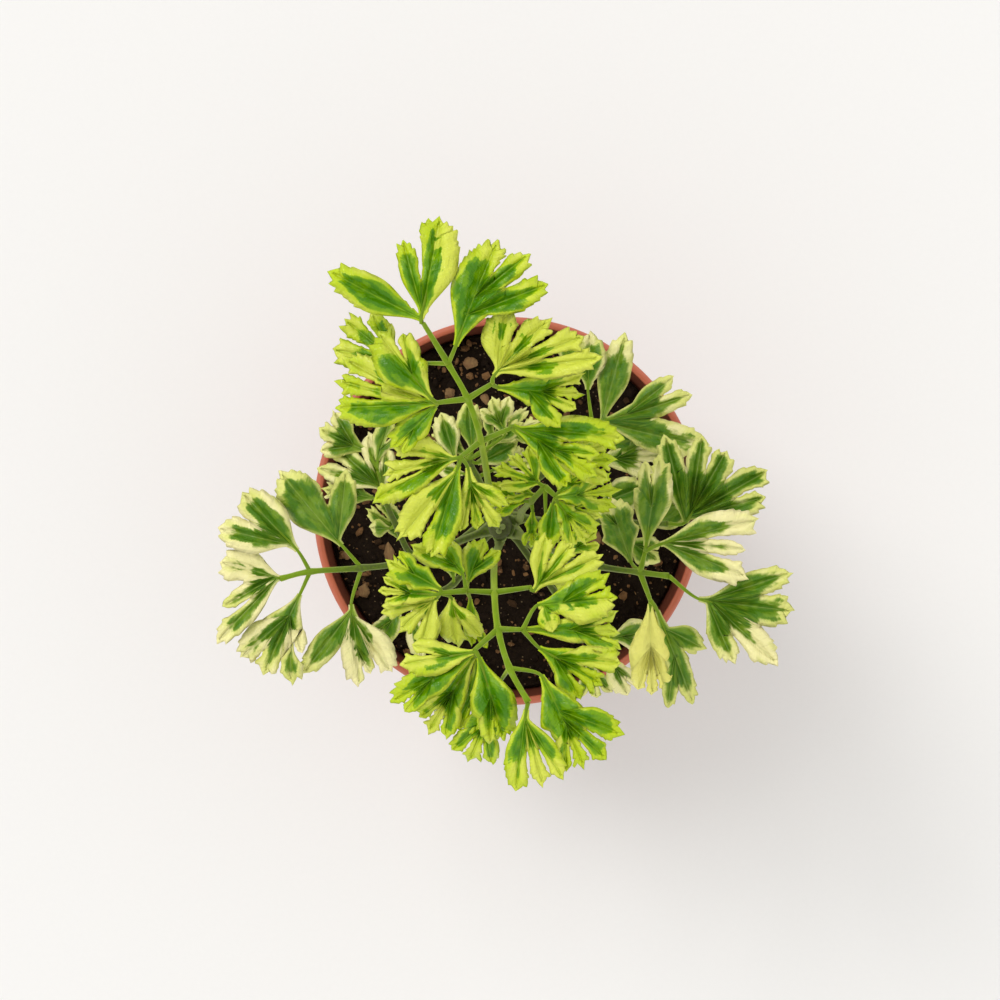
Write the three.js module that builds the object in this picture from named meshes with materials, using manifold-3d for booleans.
// A ming aralia in its nursery pot: thin plastic pot, soil, woody stem and twelve compound leaves.
// Millimetres, +Z up. The origin is on the pot's axis, on its flat underside.

import * as THREE from "three";
import { mergeVertices } from "three/addons/utils/BufferGeometryUtils.js";
import Module from "manifold-3d";

const wasm = await Module();
wasm.setup();

// ---- driving dimensions -------------------------------------------------------------------

const GAP = 0.3; // clearance between pieces that touch

const POT_HEIGHT = 100;
const POT_RIM_RADIUS = 60;
const POT_FOOT_RADIUS = 42;
const POT_WALL = 1.1;
const POT_FLOOR = 1.6;
const LIP_WIDTH = 2.4;
const LIP_HEIGHT = 3.2;
const COLLAR_HEIGHT = 15; // the straighter band below the lip
const COLLAR_STEP = 1.4; // how far the collar stands out from the wall below it
const FOOT_CHAMFER = 1.5;
const EDGE_CHAMFER = 0.8; // on the lip and under the collar
const INNER_CHAMFER = 0.6;
const DRAIN_HOLES = 6;
const DRAIN_HOLE_RADIUS = 4;
const DRAIN_CIRCLE_RADIUS = 30;

const SOIL_DEPTH_BELOW_RIM = 12;
const SOIL_CROWN = 2; // the soil rises this much towards the stem
const SOIL_EDGE = 3; // the surface rounds off over this distance at the wall

const STEM_RADIUS_FOOT = 4.6;
const STEM_RADIUS_TOP = 3.2;
const STEM_ROOTED = 22; // length of stem below the soil's surface
const STEM_TOP = 62; // above the rim, like every height below
const STEM_SIDES = 10;
const BUD_RADIUS = 2.2;
const BUD_STRETCH = 1.9; // the growing bud is this much longer than it is wide

const SHEATH_LENGTH = 2.4; // each stalk starts out level from the stem before it climbs
const PETIOLE_RADIUS = 1.35;
const RACHIS_TIP_RADIUS = 0.8;
const BRANCH_RADIUS = 0.9;
const STALKLET_RADIUS = 0.65;
const STALKLET_OVERLAP = 1; // each stalklet runs this far into its blade
const BLADE_THICKNESS = 0.6;
const STALK_SIDES = 5;

// ---- colours ------------------------------------------------------------------------------

const TERRACOTTA = { color: 0xb95a3c, roughness: 0.45, metalness: 0 };
const POTTING_MIX = { color: 0x2a1d16, roughness: 0.95, metalness: 0 };
const WOODY_STEM = { color: 0x6b6a4c, roughness: 0.75, metalness: 0 };
const UPPER_LEAF = { color: 0x6aa81e, roughness: 0.4, metalness: 0 };
const OLDER_LEAF = { color: 0x6b9448, roughness: 0.5, metalness: 0 };
const PALE_BARK = { color: 0xa98a63, roughness: 0.9, metalness: 0 };

// ---- the leaves ---------------------------------------------------------------------------
// Places are [x, y, height above the rim]; headings are degrees from +X towards +Y.
// Each leaf leaves the stem at the height `from` towards `heading`, and its stalk runs through
// the joints in `stalk`, numbered from 1. `branches` are side stalks as [joint it leaves, end], and
// their ends are the next joints. A leaflet is [joint it springs from, blade base, heading, rise,
// reach, breadth, side lobes], and a side lobe is [place along the main vein, turn, reach, breadth].

const LEAVES = [
  {
    name: "leaf_back_top",
    look: UPPER_LEAF,
    from: 56,
    heading: 115,
    stalk: [[-5, 3, 92], [-7.5, 19, 125], [-11, 30, 133], [-16, 39, 138]],
    branches: [
      [4, [-22.5, 49.5, 141]],
      [3, [-19, 29, 132.5]],
      [3, [-4.5, 34, 134]],
      [2, [0.5, 22.5, 126]],
      [2, [-13, 14.8, 125.5]],
    ],
    leaflets: [
      [5, [-23, 50.5, 141], 79, 3, 26.5, 12.5, [[0.06, 26, 19, 5], [0, 75, 25.5, 8.5]]],
      [4, [-14, 43.5, 141], 70, 4, 29.5, 12.5, [[0.3, -48, 21.5, 7.5], [0.46, -28, 18, 6.5]]],
      [6, [-20.5, 30, 134], 130, 10, 22, 12.5, [[0.35, -26, 11, 6]]],
      [6, [-19.5, 29, 132], 184, -3, 27, 10, [[0.05, -16, 25, 8], [0.1, -31, 24, 8]]],
      [6, [-19.5, 28, 131], 226, -9, 15, 7, []],
      [4, [-29, 40, 127], 170, -12, 18, 8, [[0.05, -28, 17, 8], [0.1, -56, 13, 6]]],
      [7, [-4, 36, 136], 48, 6, 19, 9, [[0.1, 38, 15, 9], [0.12, -25, 22, 8], [0.1, -40, 25, 7]]],
      [7, [-3, 33, 133], -6, -6, 21, 8, [[0.4, -44, 12, 5.5], [0.55, 24, 11, 6], [0.55, -22, 10, 5]]],
      [8, [1, 23, 126], -28, -3, 25, 9, [[0.05, 26, 28, 8], [0.3, -27, 14, 6.5], [0.5, 26, 11, 6]]],
      [8, [11, 14, 119], 2, -8, 16, 9, [[0.3, 24, 11, 6], [0.3, -26, 11, 6]]],
      [9, [-14, 14.5, 126], 190, -4, 19, 10, [[0.05, -24, 16, 7], [0.05, 14, 24, 7]]],
      [9, [-13.5, 12.5, 125], 253, -2, 24, 9, [[0.06, -24, 22, 9]]],
      [9, [-11, 12, 124], 279, -8, 17, 6, [[0.3, 22, 14, 5], [0.25, 48, 11, 4.5], [0.3, -20, 13, 4]]],
    ],
  },
  {
    name: "leaf_front_top",
    look: UPPER_LEAF,
    from: 50,
    heading: 265,
    stalk: [[-4, -13, 90], [-4, -21.5, 113], [-3, -31, 123], [0, -41, 128], [5, -50, 130]],
    branches: [
      [2, [-11.5, -21, 116]],
      [6, [-18.5, -21.5, 117.5]],
      [2, [6, -20, 117.5]],
      [3, [3.5, -31, 125.5]],
      [3, [-9.3, -36.5, 125]],
    ],
    leaflets: [
      [6, [-12.5, -16.5, 116.5], 130, -4, 11, 7, [[0.2, 28, 14, 5]]],
      [7, [-18.5, -20.5, 118], 149, 5, 15, 8, [[0.5, -30, 7, 4]]],
      [7, [-19.5, -22, 117.5], 178, -4, 15, 5.5, [[0.45, -24, 8, 3.5], [0.45, 24, 7, 3.5]]],
      [7, [-19.5, -23, 116], 218, -14, 13, 8, [[0.05, 34, 13, 7], [0.05, -26, 15, 6]]],
      [7, [-15.5, -23, 115], 274, -16, 13, 8, [[0.1, 34, 12, 5]]],
      [6, [-10.5, -23.5, 113], 272, -22, 13, 4, [[0.6, 32, 7, 3]]],
      [6, [-11, -18.5, 112], 70, -14, 12, 8, [[0.3, -32, 9, 4.5]]],
      [8, [6.5, -21, 118], 50, 3, 16, 7, [[0.1, 30, 13, 5.5], [0.15, -27, 18, 7]]],
      [9, [7.5, -24.5, 126], 4, -4, 20, 11, [[0.3, 26, 13, 7], [0.1, -76, 7, 5]]],
      [9, [4.5, -31, 125], 0, -3, 25, 6, [[0.45, 20, 14, 6], [0.5, -18, 14, 5.5]]],
      [9, [8, -36, 124], -30, -6, 19, 9, [[0.25, 24, 18, 7], [0.25, -28, 13, 6.5]]],
      [10, [-9.5, -37, 125], 190, 3, 19, 8, [[0.3, -24, 11, 5]]],
      [10, [-9.7, -37.5, 124], 213, -4, 24.5, 8, [[0.5, 20, 12, 4.5]]],
      [10, [-9.5, -38.5, 122], 239, -13, 26, 8, [[0.45, 19, 14, 6], [0.45, -17, 13, 5]]],
      [10, [-8.5, -39, 121], 267, -14, 23, 6, []],
      [10, [-8, -38.5, 125], 287, -6, 23, 11, [[0.5, -16, 13, 5.5]]],
      [4, [8.5, -43, 129], -63, -4, 26, 12, [[0.4, 44, 17, 7.5], [0.5, 23, 15, 6.5], [0.6, -26, 10, 6]]],
      [4, [-3, -46.5, 119], 251, -14, 24, 9, [[0.45, -24, 13, 5], [0.45, 26, 13, 5]]],
      [5, [4.5, -52, 130], 262, -8, 22, 7, [[0.1, 22, 18, 5.5], [0.1, 40, 18, 5.5]]],
    ],
  },
  {
    name: "leaf_crown_young",
    look: UPPER_LEAF,
    from: 56,
    heading: 20,
    stalk: [[3.5, 0, 88], [6, 3, 101], [9.8, 7, 106]],
    branches: [[3, [12.8, 4.3, 106.5]]],
    leaflets: [
      [2, [4, 3, 102], 182, 8, 9, 5, [[0.2, -36, 8, 4], [0.2, 26, 7, 3.5]]],
      [2, [6.5, 0, 100], 265, -8, 9, 4, [[0.5, 24, 5, 2.5], [0.5, -24, 5, 2.5]]],
      [3, [10, -2.5, 103], 268, -12, 8.5, 4.5, [[0.4, -26, 5, 3]]],
      [3, [8, 8, 107], 135, 10, 10, 6, [[0.1, 26, 11, 5], [0.1, -32, 9, 5], [0, 50, 10, 3.5]]],
      [4, [13.3, 4.2, 107], 5, 2, 15, 7.5, [[0.3, 26, 10, 5], [0.3, -24, 10, 5]]],
      [4, [13, 3, 105.5], -52, -8, 13, 7.5, [[0.3, 24, 10, 5], [0.3, -24, 9.5, 4.5]]],
      [4, [12, 2.5, 104.5], 265, -10, 11.5, 6, []],
    ],
  },
  {
    name: "leaf_left",
    look: OLDER_LEAF,
    from: 47,
    heading: 205,
    stalk: [[-17, -9.5, 57], [-31, -14.5, 64], [-42, -16, 68], [-56.5, -17, 70], [-65, -19, 69]],
    leaflets: [
      [3, [-47.5, -9.5, 70], 131, 4, 27, 11.5, [[0.05, -48, 19, 7]]],
      [3, [-45, -26.5, 67], 278, -8, 24, 8, [[0.05, -44, 22, 7], [0.15, 27, 20, 9]]],
      [4, [-60, -11, 71], 134, 3, 22, 11, [[0.12, 34, 21, 9]]],
      [4, [-59.5, -23.5, 69], 244, -5, 25, 13, [[0.25, -24, 19, 9], [0.25, 24, 19, 8], [0.3, 44, 10, 5]]],
      [5, [-65, -19, 69], 163, -5, 18, 10, [[0.1, 46, 16, 5], [0.05, 64, 24, 6.5]]],
    ],
  },
  {
    name: "leaf_right",
    look: OLDER_LEAF,
    from: 47,
    heading: 330,
    stalk: [[10, -12, 62], [26, -15.5, 73], [37, -17, 78], [45, -18, 79]],
    branches: [
      [3, [38.3, -11, 81.5]],
      [3, [40, -25, 76.5]],
    ],
    leaflets: [
      [3, [34.5, -14, 75], 110, -4, 19, 11, []],
      [5, [38.5, -9.5, 82], 83, 4, 24, 9.5, [[0.45, 18, 12, 4.5]]],
      [5, [42.5, -9, 83], 16, 3, 28, 9, [[0.05, -19, 22, 4.5], [0.02, -37, 24, 8.5]]],
      [6, [40, -26, 76], 270, -12, 27, 11, []],
      [6, [42, -28, 76], 292, -14, 29, 5.5, [[0.5, -28, 15, 4], [0.2, 42, 12, 6.5]]],
      [4, [53.5, -24.5, 79], -8, -4, 26, 11, [[0.08, 26, 24, 7], [0.12, -36, 25, 8], [0.08, -60, 18, 7]]],
    ],
  },
  {
    name: "leaf_right_back",
    look: OLDER_LEAF,
    from: 36,
    heading: 5,
    stalk: [[14, -3, 45], [30, -3, 52], [46, -3.5, 58]],
    leaflets: [
      [3, [51, -3, 60], 60, 3, 24, 10,
        [[0.1, 20, 23, 7], [0, 43, 25, 7], [0.1, -30, 26, 9], [0.08, -45, 22, 9]]],
      [2, [39, -4.5, 54], 35, -6, 14, 10, []],
      [2, [26.5, 2, 50], 24, -6, 14, 9, []],
      [2, [34, -8, 51], -30, -10, 12, 7, [[0.3, 28, 8, 4.5]]],
    ],
  },
  {
    name: "leaf_back_right_low",
    look: OLDER_LEAF,
    from: 20,
    heading: 55,
    stalk: [[10, 11, 27], [19, 20, 33], [25, 25, 36]],
    leaflets: [
      [3, [27, 26.5, 36], 14, 0, 28, 6, [[0.03, 62, 25, 8.5], [0.3, 22, 17, 5.5], [0.04, -30, 32, 9]]],
      [3, [23.5, 36, 38], 88, 5, 16, 9, [[0.15, 36, 13, 6]]],
      [2, [27, 20.5, 32], 2, -8, 15, 8, []],
      [2, [25.5, 15, 32], 6, -8, 22, 9, [[0.3, 24, 13, 5.5], [0.3, -26, 12, 5]]],
    ],
  },
  {
    name: "leaf_left_back_low",
    look: OLDER_LEAF,
    from: 28,
    heading: 195,
    stalk: [[-18, -11, 35], [-28, -13, 39], [-33, -4, 42], [-36, 3, 43], [-38, 12, 43]],
    leaflets: [
      [4, [-36.5, 6, 43], 136, -3, 20, 7, [[0.1, 24, 19, 6], [0.1, -33, 16, 7], [0.05, -52, 12, 6]]],
      [5, [-42, 18, 42], 158, -6, 15, 9, [[0.25, -34, 11, 6], [0.25, 32, 10, 5]]],
      [3, [-35, -5, 41], 180, 0, 5.5, 4.5, []],
    ],
  },
  {
    name: "leaf_back_inner",
    look: OLDER_LEAF,
    from: 40,
    heading: 110,
    stalk: [[-6, 5, 51], [-9, 10, 57], [-11.5, 15, 61]],
    leaflets: [
      [3, [-15.5, 15.5, 61], 107, -3, 13, 6.5, []],
      [3, [-10.5, 18, 62], 95, 3, 13, 6.5, []],
      [3, [-9, 14, 60], 25, -4, 12, 6, []],
      [2, [-13, 11, 57], 170, -8, 8, 4.5, []],
      [3, [-1, 22, 64], 112, 6, 11, 5, [[0.3, -36, 8, 4], [0.3, 34, 7, 3.5]]],
    ],
  },
  {
    name: "leaf_front_left_low",
    look: OLDER_LEAF,
    from: 34,
    heading: 225,
    stalk: [[-16, -21, 50], [-28, -25, 57]],
    leaflets: [
      [2, [-31, -26.5, 58], 242, -8, 14, 6, [[0.4, -26, 8, 4]]],
      [2, [-27.5, -28.5, 57], 276, -10, 15, 5.5, [[0.4, 26, 8, 4]]],
      [1, [-16, -19, 52], 100, 0, 7, 5, []],
    ],
  },
  {
    name: "leaf_front_right_low",
    look: OLDER_LEAF,
    from: 24,
    heading: 300,
    stalk: [[14, -24, 37], [26, -36, 44]],
    leaflets: [
      [2, [30, -37, 45], 8, -5, 12, 8, [[0.3, -30, 8, 5]]],
      [2, [29.5, -42, 44], 293, -10, 14, 6.5, [[0.3, 28, 10, 4.5]]],
      [2, [23.5, -44, 42], 282, -12, 12, 7, [[0.3, 30, 9, 4.5], [0.3, -28, 8, 4]]],
    ],
  },
  {
    name: "leaf_inner_small",
    look: UPPER_LEAF,
    from: 57,
    heading: 335,
    stalk: [[8, -9, 76], [14, -11.5, 85]],
    leaflets: [
      [2, [17, -11.5, 87], 42, 6, 9, 6, [[0.25, 34, 6, 4], [0.25, -34, 6, 4]]],
      [2, [14, -14.5, 85], 290, -8, 8, 5, [[0.3, 30, 5, 3]]],
    ],
  },
];

// Chips on the soil: [x, y, length, width, thickness, heading].
const BARK_CHIPS = [
  [-12, 46, 8, 5, 2.6, 20],
  [-7, 35, 6.5, 4, 2.4, 70],
  [-18, 37, 6, 4.5, 2.2, 130],
  [-50, -14, 5.5, 4.5, 3, 95],
  [-45, -25, 9, 4, 2.2, 60],
  [-37, -13, 10, 5, 2.4, 110],
  [27, -9, 11, 5, 2.4, 75],
  [20, -28, 7, 4, 2.6, 10],
];

// ---- solids -------------------------------------------------------------------------------

// A closed three.js geometry as a manifold-3d solid.
function solidOf(geometry) {
  const bare = geometry.clone();
  bare.deleteAttribute("normal");
  bare.deleteAttribute("uv");
  const merged = mergeVertices(bare, 1e-4);
  return new wasm.Manifold(
    new wasm.Mesh({
      numProp: 3,
      vertProperties: new Float32Array(merged.attributes.position.array),
      triVerts: new Uint32Array(merged.index.array),
    }),
  );
}

function geometryOf(solid) {
  const mesh = solid.getMesh();
  const geometry = new THREE.BufferGeometry();
  geometry.setAttribute("position", new THREE.BufferAttribute(mesh.vertProperties, 3));
  geometry.setIndex(new THREE.BufferAttribute(mesh.triVerts, 1));
  geometry.computeVertexNormals();
  return geometry;
}

function joined(geometries) {
  return geometries.map(solidOf).reduce((all, next) => all.add(next));
}

function named(name, geometry, look) {
  const mesh = new THREE.Mesh(geometry, new THREE.MeshStandardMaterial(look));
  mesh.name = name;
  return mesh;
}

const lathe = (profile, segments) =>
  new THREE.LatheGeometry(profile.map(([radius, z]) => new THREE.Vector2(radius, z)), segments)
    .rotateX(Math.PI / 2);

// The level unit vector towards a heading.
function along(degrees) {
  const angle = THREE.MathUtils.degToRad(degrees);
  return new THREE.Vector3(Math.cos(angle), Math.sin(angle), 0);
}

// A round tube through the points, whose radius runs from the first value to the second.
function taperedTube(points, startRadius, endRadius, sides, steps) {
  const path = new THREE.CatmullRomCurve3(points, false, "centripetal");
  const section = new THREE.Shape(
    Array.from({ length: sides }, (_, k) => {
      const turn = (2 * Math.PI * k) / sides;
      return new THREE.Vector2(startRadius * Math.cos(turn), startRadius * Math.sin(turn));
    }),
  );
  const tube = new THREE.ExtrudeGeometry(section, { steps, extrudePath: path, bevelEnabled: false });
  const centres = path.getSpacedPoints(steps);
  const corners = tube.attributes.position;
  const corner = new THREE.Vector3();
  for (let i = 0; i < corners.count; i += 1) {
    corner.fromBufferAttribute(corners, i);
    const ring = centres.reduce((best, centre, k) =>
      corner.distanceToSquared(centre) < corner.distanceToSquared(centres[best]) ? k : best, 0);
    const radius = THREE.MathUtils.lerp(startRadius, endRadius, ring / steps);
    corner.sub(centres[ring]).multiplyScalar(radius / startRadius).add(centres[ring]);
    corners.setXYZ(i, corner.x, corner.y, corner.z);
  }
  return tube;
}

// ---- pot and soil -------------------------------------------------------------------------

const POT_SEGMENTS = 36;
const COLLAR_FOOT_Z = POT_HEIGHT - COLLAR_HEIGHT;
const LIP_OVERHANG = 0.9;
const COLLAR_RADIUS = POT_RIM_RADIUS - LIP_OVERHANG;

const COLLAR_INSIDE_RISE = 4; // inside, the wall steps out to the collar over this height
const SHOULDER_Z = COLLAR_FOOT_Z - 1; // where that step starts

// Outer radius of the wall below the collar, which widens steadily from the foot.
const WALL_TOP_RADIUS = COLLAR_RADIUS - EDGE_CHAMFER - COLLAR_STEP;
const wallRadius = (z) =>
  THREE.MathUtils.mapLinear(z, 0, COLLAR_FOOT_Z, POT_FOOT_RADIUS, WALL_TOP_RADIUS);

function potGeometry() {
  const inside = POT_RIM_RADIUS - LIP_WIDTH;
  const collarInside = wallRadius(COLLAR_FOOT_Z) - POT_WALL;
  const shell = lathe(
    [
      [0, 0],
      [POT_FOOT_RADIUS - FOOT_CHAMFER, 0],
      [POT_FOOT_RADIUS, FOOT_CHAMFER],
      [wallRadius(COLLAR_FOOT_Z), COLLAR_FOOT_Z],
      [COLLAR_RADIUS - EDGE_CHAMFER, COLLAR_FOOT_Z + EDGE_CHAMFER],
      [COLLAR_RADIUS, POT_HEIGHT - LIP_HEIGHT],
      [POT_RIM_RADIUS, POT_HEIGHT - LIP_HEIGHT + INNER_CHAMFER],
      [POT_RIM_RADIUS, POT_HEIGHT - EDGE_CHAMFER],
      [POT_RIM_RADIUS - EDGE_CHAMFER, POT_HEIGHT],
      [inside + INNER_CHAMFER, POT_HEIGHT],
      [inside, POT_HEIGHT - INNER_CHAMFER],
      [collarInside + INNER_CHAMFER, COLLAR_FOOT_Z + COLLAR_INSIDE_RISE],
      [collarInside, SHOULDER_Z],
      [POT_FOOT_RADIUS - POT_WALL, POT_FLOOR],
      [0, POT_FLOOR],
    ],
    POT_SEGMENTS,
  );
  let pot = solidOf(shell);
  for (let k = 0; k < DRAIN_HOLES; k += 1) {
    const centre = along((360 * k) / DRAIN_HOLES).multiplyScalar(DRAIN_CIRCLE_RADIUS);
    const drill = new THREE.CylinderGeometry(DRAIN_HOLE_RADIUS, DRAIN_HOLE_RADIUS, 3 * POT_FLOOR, 12)
      .rotateX(Math.PI / 2)
      .translate(centre.x, centre.y, POT_FLOOR / 2);
    pot = pot.subtract(solidOf(drill));
  }
  return geometryOf(pot);
}

const SOIL_TOP_Z = POT_HEIGHT - SOIL_DEPTH_BELOW_RIM;
const STEM_FOOT_Z = SOIL_TOP_Z + SOIL_CROWN - STEM_ROOTED;

// The soil fills the pot and has a socket for the rooted end of the stem.
function soilGeometry() {
  const socket = STEM_RADIUS_FOOT + GAP;
  const collarInside = wallRadius(COLLAR_FOOT_Z) - POT_WALL;
  return lathe(
    [
      [0, POT_FLOOR + GAP],
      [POT_FOOT_RADIUS - POT_WALL - 2 * GAP, POT_FLOOR + GAP],
      [collarInside - GAP, SHOULDER_Z],
      [collarInside, SOIL_TOP_Z - EDGE_CHAMFER],
      [collarInside - SOIL_EDGE, SOIL_TOP_Z],
      [collarInside / 2, SOIL_TOP_Z + SOIL_CROWN / 2],
      [socket + SOIL_EDGE, SOIL_TOP_Z + SOIL_CROWN],
      [socket, SOIL_TOP_Z + SOIL_CROWN],
      [socket, STEM_FOOT_Z - GAP],
      [0, STEM_FOOT_Z - GAP],
    ],
    POT_SEGMENTS,
  );
}

// ---- stem ---------------------------------------------------------------------------------

// Points of the stem's centre line: upright in the soil, leaning a little above it.
const STEM_LINE = [
  [0, 0, STEM_FOOT_Z - POT_HEIGHT],
  [0, 0, -SOIL_DEPTH_BELOW_RIM + SOIL_CROWN],
  [-0.8, -0.8, 10],
  [-1.8, -2.6, 36],
  [-2.6, -4.6, STEM_TOP],
];

// [x, y, height above the rim] as a point in the part's frame.
const place = ([x, y, height]) => new THREE.Vector3(x, y, POT_HEIGHT + height);

// The stem's centre at a height above the rim, between the points of its line.
function stemCentre(height) {
  const upper = STEM_LINE.findIndex((point) => point[2] >= height);
  const share = THREE.MathUtils.inverseLerp(STEM_LINE[upper - 1][2], STEM_LINE[upper][2], height);
  return place(STEM_LINE[upper - 1]).lerp(place(STEM_LINE[upper]), share);
}

const stemRadius = (height) =>
  THREE.MathUtils.mapLinear(height, -SOIL_DEPTH_BELOW_RIM, STEM_TOP, STEM_RADIUS_FOOT, STEM_RADIUS_TOP);

function stemGeometry() {
  const line = STEM_LINE.map(place);
  const stem = taperedTube(line, STEM_RADIUS_FOOT, STEM_RADIUS_TOP, STEM_SIDES, STEM_SIDES);
  const top = line.at(-1);
  const bud = new THREE.SphereGeometry(BUD_RADIUS, 8, 6)
    .scale(1, 1, BUD_STRETCH)
    .translate(top.x, top.y, top.z + BUD_RADIUS / 2);
  return geometryOf(joined([stem, bud]));
}

// ---- leaves -------------------------------------------------------------------------------

const FOOT_SHARE = 0.25; // width of a lobe at its foot, as a share of its breadth
const LOBE_STATIONS = [0, 0.36, 0.76];

// Half the width of a lobe at a share of its length: narrow foot, widest past the middle, blunt tip.
const halfWidth = (share, breadth) =>
  (breadth / 2) *
  (FOOT_SHARE * (1 - share) + 0.92 * Math.pow(Math.sin(Math.PI * Math.pow(share, 1.45)), 0.75));

// One lobe as a flat plate: it starts at `fork` on the blade's plane and runs along `turn`.
function lobePlate(fork, turn, reach, breadth) {
  const right = LOBE_STATIONS.map((s) => new THREE.Vector2(s * reach, -halfWidth(s, breadth)));
  const left = LOBE_STATIONS.map((s) => new THREE.Vector2(s * reach, halfWidth(s, breadth))).reverse();
  const outline = new THREE.Shape([...right, new THREE.Vector2(reach, 0), ...left]);
  return new THREE.ExtrudeGeometry(outline, { depth: BLADE_THICKNESS, bevelEnabled: false })
    .rotateZ(THREE.MathUtils.degToRad(turn))
    .translate(fork, 0, -BLADE_THICKNESS / 2);
}

// The lobes of one leaflet, joined in their common plane and set on the leaf.
function leafletSolid([, base, heading, rise, reach, breadth, lobes]) {
  const plates = [lobePlate(0, 0, reach, breadth)];
  for (const [share, turn, lobeReach, lobeBreadth] of lobes) {
    plates.push(lobePlate(share * reach, turn, lobeReach, lobeBreadth));
  }
  const pose = new THREE.Matrix4()
    .makeRotationZ(THREE.MathUtils.degToRad(heading))
    .multiply(new THREE.Matrix4().makeRotationY(THREE.MathUtils.degToRad(-rise)))
    .setPosition(place(base));
  return solidOf(geometryOf(joined(plates)).applyMatrix4(pose));
}

// Petiole and rachis in one tube, stalklets to each blade, and the blades, as one grown piece.
function leafGeometry({ from, heading, stalk, branches = [], leaflets }) {
  const outward = along(heading);
  const attach = stemCentre(from).addScaledVector(outward, stemRadius(from) + 2 * GAP);
  const shoulder = attach.clone().addScaledVector(outward, SHEATH_LENGTH);
  shoulder.z += SHEATH_LENGTH / 3;
  const points = [attach, shoulder, ...stalk.map(place)];
  const steps = 2 * (points.length - 1);
  let leaf = solidOf(taperedTube(points, PETIOLE_RADIUS, RACHIS_TIP_RADIUS, STALK_SIDES, steps));
  const joints = [...stalk, ...branches.map(([, end]) => end)].map(place);
  for (const [joint, end] of branches) {
    const sides = [joints[joint - 1], place(end)];
    leaf = leaf.add(solidOf(taperedTube(sides, BRANCH_RADIUS, STALKLET_RADIUS, STALK_SIDES, 1)));
  }
  for (const leaflet of leaflets) {
    const [joint, base, bladeHeading] = leaflet;
    const inside = place(base).addScaledVector(along(bladeHeading), STALKLET_OVERLAP);
    const ends = [joints[joint - 1], inside];
    const stalklet = taperedTube(ends, STALKLET_RADIUS, STALKLET_RADIUS, STALK_SIDES, 1);
    leaf = leaf.add(solidOf(stalklet)).add(leafletSolid(leaflet));
  }
  return geometryOf(leaf);
}

// ---- loose chips --------------------------------------------------------------------------

// A height that clears the soil's surface at a distance from the axis, which is never steeper.
function soilSurface(radius) {
  const edge = wallRadius(COLLAR_FOOT_Z) - POT_WALL - SOIL_EDGE;
  const rise = 1.12 * (1 - Math.min(radius / edge, 1));
  return SOIL_TOP_Z + SOIL_CROWN * Math.min(rise, 1);
}

function chipGeometry([x, y, length, width, thickness, heading]) {
  const half = thickness / 2;
  const innerEdge = Math.hypot(x, y) - length / 2;
  return new THREE.DodecahedronGeometry(0.5)
    .scale(length, width, thickness)
    .rotateZ(THREE.MathUtils.degToRad(heading))
    .translate(x, y, soilSurface(innerEdge) + half + GAP);
}

// ---- the plant ----------------------------------------------------------------------------

const plant = new THREE.Group();
plant.add(named("pot", potGeometry(), TERRACOTTA));
plant.add(named("soil", soilGeometry(), POTTING_MIX));
plant.add(named("main_stem", stemGeometry(), WOODY_STEM));
for (const leaf of LEAVES) {
  plant.add(named(leaf.name, leafGeometry(leaf), leaf.look));
}
BARK_CHIPS.forEach((chip, k) => {
  plant.add(named(`bark_chip_${k + 1}`, chipGeometry(chip), PALE_BARK));
});

export default plant;
